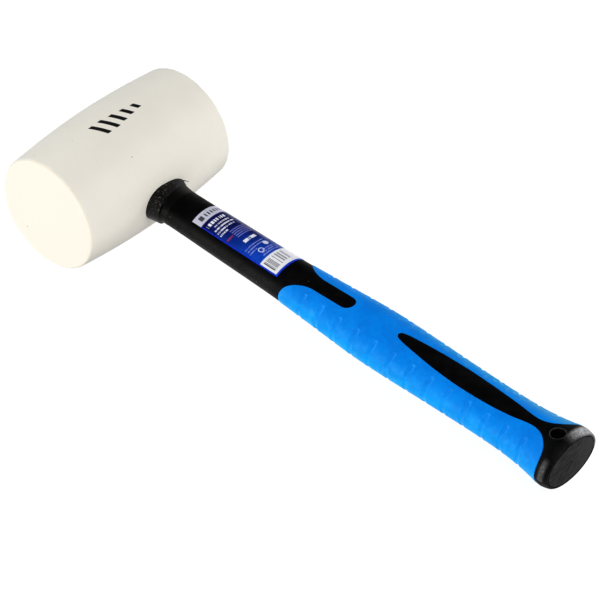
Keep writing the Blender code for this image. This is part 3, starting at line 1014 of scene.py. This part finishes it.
def add_tenon(shell):
    """Plain front of the shaft, the tenon's chamfered end and the core's bore."""
    shell.strip([section(x) for x in spaced(TENON_END + 0.0006, LOFT_START, 0.0030)])
    shell.strip([section(TENON_END + 0.0006), section(TENON_END + 0.0002, -0.0002),
                 section(TENON_END, -0.0006)])
    bore_end = oval_quarter(CORE_BORE_END, CORE_BORE, CORE_BORE)
    shell.strip([section(TENON_END, -0.0006), oval_quarter(TENON_END, CORE_BORE, CORE_BORE), bore_end])
    shell.fan(bore_end, (CORE_BORE_END, 0, 0))


def add_lands(shell):
    """Black skin in front of the grip, and behind it round the hanging hole."""
    columns = quarter_turns()
    reach = LAND_PROFILE[0][0]
    front, rear = both_edges(-reach)
    boundary = [(LOFT_START, turn) for turn in columns[::-1]]
    boundary += between(LOFT_START, front[0][0], LAND_STEP, 0.0) + front
    boundary += between(LOFT_START, front[-1][0], LAND_STEP, TOP)[::-1]
    xs = spaced(LOFT_START, TONGUE_END, LAND_STEP)
    add_patch(shell, boundary, xs, columns[3:-1], 0.0005, parting)
    hole = hanging_hole(shell)
    boundary = rear[::-1] + between(rear[0][0], hole[-1][0], LAND_STEP, TOP) + hole[::-1]
    boundary += between(hole[0][0], RIM_START, 0.0008, TOP)
    boundary += [(RIM_START, turn) for turn in columns[::-1]]
    boundary += between(rear[-1][0], RIM_START, 0.0008, 0.0)[::-1]
    xs = spaced(TEARDROP[0][0], RIM_START, 0.0010)
    add_patch(shell, boundary, xs, columns[3:-1], 0.0004, parting)


def add_butt(shell):
    """Convex rim, flat lip, and the pocket that the plug sits in."""
    shell.strip([section(mixed(RIM_START, BUTT_END, sin(a))) for a in corner_angles(10)])
    gap = 0.00016
    mouth_width, mouth_height = PLUG_HALF_WIDTH + gap, PLUG_HALF_HEIGHT + gap
    floor = BUTT_END - PLUG_THICKNESS - GAP
    soft = 0.00015
    rows = [section(BUTT_END), oval_quarter(BUTT_END, mouth_width + soft, mouth_height + soft),
            oval_quarter(BUTT_END - soft, mouth_width, mouth_height),
            oval_quarter(floor, mouth_width, mouth_height)]
    shell.strip(rows)
    shell.fan(rows[-1], (floor, 0, 0))


def jacket_finish():
    """Black moulded plastic with a fine grain, lint and a rougher, flecked butt, with a painted sheen on the
    shaft's lower near flank and painted highlights on the butt.
    """
    g = Graph("black_plastic", specular=0.20)
    x, y, z = g.axes()
    grain = g.noise(1400, 3.0, 0.6)
    patches = g.noise(220, 4.0, 0.6)
    # Painted sheen: the shaft's lower near flank is painted grey, broken by grain, for light reflected along
    # it.
    flank = g.times(g.ramp(z, 0.0068, -0.0010), g.ramp(y, -0.004, -0.009), g.ramp(x, 0.132, 0.120))
    near_butt = g.ramp(x, 0.297, 0.311)
    # Noise that breaks up the painted highlights on the butt.
    highlight_breakup = g.ramp(g.noise(700, 4.0, 0.7), 0.36, 0.60, 0.5, 1.0)
    g.colour(g.layered(
        g.mix(g.ramp(patches, 0.35, 0.7), (0.0005, 0.0005, 0.0006), (0.0018, 0.0018, 0.0020)),
        (flank, g.ramp(grain, 0.40, 0.62, 0.25, 1.0), (0.030, 0.030, 0.031)),
        (g.specks(420, 0.985, 0.15), 0.7, (0.16, 0.16, 0.17)),
        (g.ramp(g.noise(1100, 3.0, 0.65), 0.55, 0.70), near_butt, (0.012, 0.012, 0.013)),
        (butt_highlights(g, x, y, z), highlight_breakup, (0.600, 0.600, 0.610)),
    ))
    g.rough(g.plus(g.ramp(patches, 0.25, 0.75, 0.40, 0.58), g.times(near_butt, 0.06)))
    coarse = g.times(g.noise(900), g.plus(g.times(near_butt, 1.2), 0.25))
    g.bump(g.plus(g.times(grain, 0.35), coarse), 0.00006, 0.7)
    return g.material


def butt_highlights(g, x, y, z):
    """Painted highlights on the butt: two arcs of its rim and the lip of the hanging hole."""
    far = g.times(g.band(x, 0.3116, 0.3168, 0.0014), g.ramp(y, -0.004, 0.011), 0.8)
    near = g.times(g.band(x, 0.3116, 0.3144, 0.0010), g.ramp(y, -0.0145, -0.0185), 0.24)
    away = g.length(g.minus(x, HOLE_X), g.minus(y, LAND_SHIFT))
    lip = g.times(g.band(away, HOLE_RADIUS + 0.0002, HOLE_RADIUS + HOLE_LIP, 0.0003), 0.15)
    return g.times(g.most(far, near, lip), g.over(z, -0.002))


# ---- butt plug

def make_butt_plug():
    """Flat oval disc with a chamfered edge and a gate dimple in its middle."""
    back = BUTT_END - PLUG_THICKNESS
    rows = []
    for x, inset in ((back, 0.0), (BUTT_END - PLUG_EDGE, 0.0),
                     (BUTT_END - PLUG_EDGE * 0.3, PLUG_EDGE * 0.3), (BUTT_END, PLUG_EDGE)):
        rows.append(oval_row(x, PLUG_HALF_WIDTH - inset, PLUG_HALF_HEIGHT - inset, PLUG_SIDES))
    for share in (0.95, 0.85, 0.7, 0.5, 0.3, 0.15):
        rows.append(oval_row(BUTT_END, PLUG_HALF_WIDTH * share, PLUG_HALF_HEIGHT * share, PLUG_SIDES))
    for radius, depth in ((0.0011, 0.0), (0.0008, 0.00004), (0.0005, 0.00025), (0.0003, 0.0003)):
        rows.append(oval_row(BUTT_END - depth, radius, radius, PLUG_SIDES))
    shell = Shell()
    shell.capped(rows, (back, 0, 0), (BUTT_END - 0.0003, 0, 0))
    return add_piece("butt_disc", shell.mesh("butt_disc"), plug_finish(), "butt_plug", 30)


def plug_finish():
    """Dark grey plastic, brushed slantwise, with a knit line out of the gate, and painted lighter towards
    +Y.
    """
    g = Graph("plug_grey", specular=0.06)
    _, y, z = g.axes()
    along = g.plus(g.times(y, 0.9), g.times(z, 0.45))
    across = g.minus(g.times(z, 0.9), g.times(y, 0.45))
    brushed = g.noise(1.0, 3.0, 0.6, g.joined(g.times(along, 170), g.times(across, 1100)))
    knit = g.box(y, z, (-0.0172, -0.0015, -0.00022, 0.00022), 0.00012)
    gate = g.spot((BUTT_END, 0, 0), 0.0007)
    reach = g.length(g.times(y, 1 / PLUG_HALF_WIDTH), g.times(z, 1 / PLUG_HALF_HEIGHT))
    g.colour(g.layered(
        g.mix(g.ramp(brushed, 0.36, 0.64), (0.018, 0.018, 0.019), (0.072, 0.072, 0.073)),
        # Painted light: the disc is lighter towards its +Y side.
        (g.ramp(y, -0.004, 0.015), 0.5, (0.085, 0.085, 0.086)),
        (g.most(knit, gate), 0.9, (0.006, 0.006, 0.006)),
        (g.ramp(reach, 0.9644, 0.995), 1.0, (0.006, 0.006, 0.006)),
    ))
    g.rough(g.ramp(brushed, 0.3, 0.7, 0.52, 0.68))
    height = g.plus(g.times(brushed, 0.6), g.times(g.noise(1600, 2.0), 0.5))
    g.bump(g.minus(height, knit), 0.00006, 0.6)
    return g.material


# ---- collar

def collar_end(turn):
    """x of the collar's oblique free end at a turn."""
    return COLLAR_END - COLLAR_SLANT * cos(turn)


def collar_lift(x, turn):
    """Thickness of the collar over the handle: a flare, and a layer up to its end."""
    far, near = max(0.0, cos(turn)), max(0.0, -cos(turn))
    past = x - COLLAR_ROOT
    flare = FLARE * (exp(-past / FLARE_REACH) - exp((COLLAR_ROOT - FLARE_END) / FLARE_REACH))
    layer = near * (0.0028 - 0.15 * past) + (1 - near - far) * (0.0011 - 0.03 * past) + far * 0.0002
    kept = 1 - eased(collar_end(turn) - COLLAR_EDGE, collar_end(turn) + 0.0001, x)
    return max(0.00006, flare * far * far + layer * kept)


def collar_skin(x, turn):
    """Collar's outer skin, rough with torn rubber grain on its upper side."""
    grain = noise.noise(on_oval(x, turn, 0.015, 0.010) * 1700)
    grain += 0.6 * noise.noise(on_oval(x, turn, 0.015, 0.010) * 4200)
    upper = eased(-0.1, 0.6, sin(turn)) * (1 - eased(collar_end(turn) - 0.0010, collar_end(turn), x))
    return on_handle(x, turn, collar_lift(x, turn) + 0.00014 * upper * grain)


def at_barrel(turn, point):
    """x at which a skin point at this turn lies on the barrel."""
    x = 0.0340
    for _ in range(14):
        p = point(x, turn)
        x = sqrt(max(0.0, barrel_radius(p.y) ** 2 - p.z * p.z))
    return x - 0.00015


def make_collar():
    """Closed skin: out along the collar and its flare, and back on the handle."""
    turns = [2 * pi * n / COLLAR_SIDES for n in range(COLLAR_SIDES)]
    starts = [at_barrel(turn, lambda x, t: on_handle(x, t, collar_lift(x, t))) for turn in turns]
    rows = []
    for n in range(23):
        rows.append([collar_skin(mixed(start, collar_end(turn) - COLLAR_EDGE, n / 22), turn)
                     for start, turn in zip(starts, turns)])
    for n in range(1, 6):
        rows.append([collar_skin(collar_end(turn) - COLLAR_EDGE + 0.0001 * n, turn) for turn in turns])
    for n in range(1, 9):
        rows.append([collar_skin(mixed(collar_end(turn) + 0.0001, FLARE_END, n / 8), turn)
                     for turn in turns])
    rows.append([on_handle(FLARE_END, turn, SKIN_GAP) for turn in turns])
    rows.append([on_handle(at_barrel(turn, on_handle), turn, SKIN_GAP) for turn in turns])
    shell = Shell()
    shell.strip(rows + [rows[0]], closed=True)
    add_flash(shell)
    mesh = shell.mesh("neck_rubber")
    return add_piece("neck_rubber", mesh, collar_finish(), "neck_collar", 50)


def add_flash(shell):
    """Little curl of moulding flash left standing at the collar's far corner."""
    root = Vector((0.0355, 0.0136, 0.0044))
    along = Vector((0.85, 0.50, -0.10)).normalized()
    up = Vector((0.75, 0.0, 0.45)).normalized()
    rows = []
    for n in range(7):
        t = n / 6
        spine = root + along * (0.0026 * t) + up * (0.0009 * t * t)
        half = 0.0009 * (1 - 0.8 * t)
        thick = Vector((0, -0.3, 1)).normalized() * 0.00022
        rows.append([spine - up * half - thick, spine + up * half - thick,
                     spine + up * half + thick, spine - up * half + thick])
    shell.strip(rows, closed=True)
    for row in (rows[0], rows[-1]):
        loop = shell.add(row)
        shell.faces.append(tuple(loop))


def collar_finish():
    """Black rubber, grainy and dusty on top and smoother below, with a painted sheen that lightens its lower
    side.
    """
    g = Graph("collar_black", specular=0.40)
    x, y, z = g.axes()
    slant = g.plus(x, g.times(y, COLLAR_SLANT / 0.0135))
    layer = g.ramp(slant, COLLAR_END - 0.0005, COLLAR_END + 0.0002, 1.0, 0.0)
    upper = g.times(g.ramp(z, -0.001, 0.006), g.ramp(y, 0.009, 0.002), layer)
    grain = g.noise(760, 4.0, 0.7)
    # Painted sheen: the collar's layer is lighter grey on its lower side.
    base = g.mix(g.times(g.ramp(z, 0.003, -0.002), layer), (0.0020, 0.0020, 0.0022), (0.024, 0.024, 0.025))
    g.colour(g.mix(g.times(g.ramp(grain, 0.56, 0.63), upper, 0.80), base, (0.170, 0.165, 0.150)))
    g.rough(g.plus(g.times(upper, 0.10), 0.42))
    g.bump(g.times(grain, g.plus(upper, 0.1)), 0.00030, 0.9)
    return g.material


# ---- label

def make_label():
    """Thin printed film that follows the shaft, with its own map for the print."""
    xs = [mixed(LABEL_START, LABEL_END, n / 96) for n in range(97)]
    turns = [mixed(LABEL_LOW, LABEL_HIGH, n / 84) for n in range(85)]
    shell = Shell()
    lifts = (LABEL_BACK, LABEL_FRONT)
    for lift in lifts[::-1]:
        shell.strip([[on_handle(x, t, lift) for t in turns] for x in xs])
    for x in (xs[0], xs[-1]):
        shell.strip([[on_handle(x, t, lift) for t in turns] for lift in lifts])
    for t in (turns[0], turns[-1]):
        shell.strip([[on_handle(x, t, lift) for x in xs] for lift in lifts])
    mesh = shell.mesh("label_film")
    film = mesh.uv_layers.new(name="film")
    for loop in mesh.loops:
        p = mesh.vertices[loop.vertex_index].co
        width, height = handle_half_sizes(p.x)
        turn = atan2(p.z / height, p.y / width)
        along = (p.x - LABEL_START) / (LABEL_END - LABEL_START)
        film.data[loop.index].uv = (along, (LABEL_LOW - turn) / PRINT_ANGLE)
    return add_piece("label_film", mesh, label_finish(), "handle_label")


def print_rows(g, u, v, rows, half, cells):
    """Rows of short dashes that stand for print; rows are (u, low v, high v)."""
    dashes = []
    for n, (centre, low, high) in enumerate(rows):
        cell = g.math("FLOOR", g.times(v, cells))
        chance = g.node("ShaderNodeTexWhiteNoise", {"Vector": g.joined(cell, n + 0.5)},
                        noise_dimensions="2D")
        row = g.box(u, v, (centre - half, centre + half, low, high), 0.003)
        dashes.append(g.times(g.over(chance.outputs["Value"], 0.22), row))
    return g.most(*dashes)


def label_finish():
    """Glossy film: pale header, blue field, rows of dashes and a striped panel."""
    g = Graph("label_print")
    u, v, _ = g.axes(g.node("ShaderNodeUVMap", uv_map="film").outputs["UV"])
    swirl = g.noise(3.0, source=g.joined(g.times(u, 1.6), v))
    lit = g.ramp(g.minus(u, g.times(v, 0.35)), 0.0, 0.75)
    share = g.math("ADD", lit, g.times(g.minus(swirl, 0.5), 0.7), clamp=True)
    marks = [g.box(u, v, (0.03, 0.08, 0.16, 0.30), 0.006)]
    marks += [g.box(u, v, (0.035, 0.075, low, low + 0.05), 0.006) for low in spaced(0.38, 0.93, 0.11)]
    small = g.times(print_rows(g, u, v, SMALL_ROWS, 0.009, 58), 0.85)
    block = g.box(u, v, (0.335, 0.455, 0.36, 0.92), 0.006)
    edge = g.minus(1.0, g.box(u, v, (-1.0, 0.990, 0.035, 2.0), 0.004))
    g.colour(g.layered(
        g.mix(share, (0.003, 0.006, 0.105), (0.009, 0.085, 0.50)),
        (g.band(u, -1.0, HEADER_END, 0.004), 1.0, (0.60, 0.60, 0.70)),
        (g.most(*marks), 0.85, (0.01, 0.01, 0.02)),
        (g.most(print_rows(g, u, v, BIG_ROWS, 0.018, 36), small), 1.0, (0.80, 0.80, 0.88)),
        (print_rows(g, u, v, FINE_ROWS, 0.006, 90), 0.6, (0.45, 0.48, 0.85)),
        (block, g.times(g.over(g.math("FRACT", g.times(u, 42.0)), 0.45), 0.5), (0.35, 0.36, 0.80)),
        (print_rows(g, u, v, RED_ROWS, 0.010, 60), 0.5, (0.75, 0.08, 0.06)),
        (plain_shapes(g, u, v), 0.85, (0.75, 0.76, 0.86)),
        (g.box(u, v, (0.79, 0.979, 0.05, 1.14), 0.005), 1.0, (0.80, 0.80, 0.84)),
        (panel_bars(g, u, v), 0.9, (0.02, 0.02, 0.025)),
        (edge, g.over(u, HEADER_END), (0.01, 0.05, 0.62)),
    ))
    g.rough(g.ramp(g.noise(400, 2.0), 0.3, 0.7, 0.26, 0.36))
    g.bump(g.noise(260, 2.0), 0.00003, 0.5)
    return g.material


def plain_shapes(g, u, v):
    """A plain disc and a plain ring, where small signs are often printed."""
    def away(cu, cv):
        return g.length(g.times(g.minus(u, cu), 61.0), g.times(g.minus(v, cv), 20.5))

    return g.most(g.ramp(away(0.655, 0.74), 1.5, 1.9, 1.0, 0.0), g.band(away(0.70, 0.42), 1.2, 1.75, 0.2))


def panel_bars(g, u, v):
    """Dark bars of uneven width across the pale panel, in two groups."""
    cell = g.math("FLOOR", g.times(v, 58.0))
    chance = g.node("ShaderNodeTexWhiteNoise", {"W": cell}, noise_dimensions="1D")
    near = g.box(u, v, (0.815, 0.945, 0.12, 0.47), 0.004)
    far = g.times(g.box(u, v, (0.815, 0.935, 0.49, 0.80), 0.004), 0.65)
    return g.times(g.over(chance.outputs["Value"], 0.52), g.most(near, far))


# ---- stage

def make_camera():
    azimuth, elevation, roll = radians(VIEW_AZIMUTH), radians(VIEW_ELEVATION), radians(VIEW_ROLL)
    back = Vector((sin(azimuth) * cos(elevation), -cos(azimuth) * cos(elevation), sin(elevation)))
    level = Vector((0, 0, 1)).cross(back).normalized()
    upright = back.cross(level)
    right = level * cos(roll) + upright * sin(roll)
    up = upright * cos(roll) - level * sin(roll)
    data = bpy.data.cameras.new("view")
    data.sensor_width = 36
    data.lens = LENS
    data.clip_start, data.clip_end = 0.05, 50
    camera = new_object("view", data)
    turn = Matrix((right, up, back)).transposed().to_4x4()
    camera.matrix_world = Matrix.Translation(Vector(VIEW_TARGET) + back * VIEW_DISTANCE) @ turn
    bpy.context.scene.camera = camera


# Soft lamps: name, way from the head, distance, size, power and colour.
PANELS = (
    ("left_panel", (-0.35, -1.0, 0.30), 1.4, (1.4, 0.8), 8.4, (1.0, 0.985, 0.95)),
    ("right_panel", (0.75, -0.10, 1.0), 1.5, (0.9, 0.7), 10.5, (1.0, 0.98, 0.965)),
    ("back_panel", (0.25, 1.0, 0.40), 1.5, (1.0, 0.6), 6.6, (0.97, 0.99, 1.0)),
    ("head_panel", (-1.0, 0.0, 0.50), 1.5, (0.8, 0.6), 5.5, (0.93, 0.97, 1.0)),
)


def area_light(name, direction, distance, size, power, colour):
    data = bpy.data.lights.new(name, "AREA")
    data.shape = "RECTANGLE"
    data.size, data.size_y = size
    data.energy = power
    data.color = colour
    lamp = new_object(name, data)
    way = Vector(direction).normalized()
    lamp.location = Vector((0, 0, 0.02)) + way * distance
    lamp.rotation_mode = "QUATERNION"
    lamp.rotation_quaternion = (-way).to_track_quat("-Z", "Y")


def make_stage():
    shell = Shell()
    ticks = spaced(-6.0, 6.0, 0.5)
    shell.strip([[(x, y, -0.0001) for y in ticks] for x in ticks])
    mesh = shell.mesh("floor")
    floor = new_object("floor", mesh)
    g = Graph("floor_white", roughness=0.9, specular=0.1)
    g.shader.inputs["Base Color"].default_value = (0.12, 0.12, 0.12, 1.0)
    g.shader.inputs["Emission Color"].default_value = (1.0, 1.0, 1.0, 1.0)
    g.shader.inputs["Emission Strength"].default_value = 0.66
    mesh.materials.append(g.material)
    world = bpy.data.worlds.new("studio")
    world.use_nodes = True
    backdrop = world.node_tree.nodes["Background"]
    backdrop.inputs["Color"].default_value = (0.90, 0.95, 1.0, 1.0)
    backdrop.inputs["Strength"].default_value = 0.08
    bpy.context.scene.world = world
    for panel in PANELS:
        area_light(*panel)
    bpy.context.scene.view_settings.view_transform = "Standard"
    bpy.context.scene.view_settings.look = "High Contrast"


make_camera()
make_stage()
make_head()
make_eye_bond()
make_wedge()
finish_core()
make_jacket()
make_grip()
make_butt_plug()
make_collar()
make_label()

bpy.context.view_layer.update()
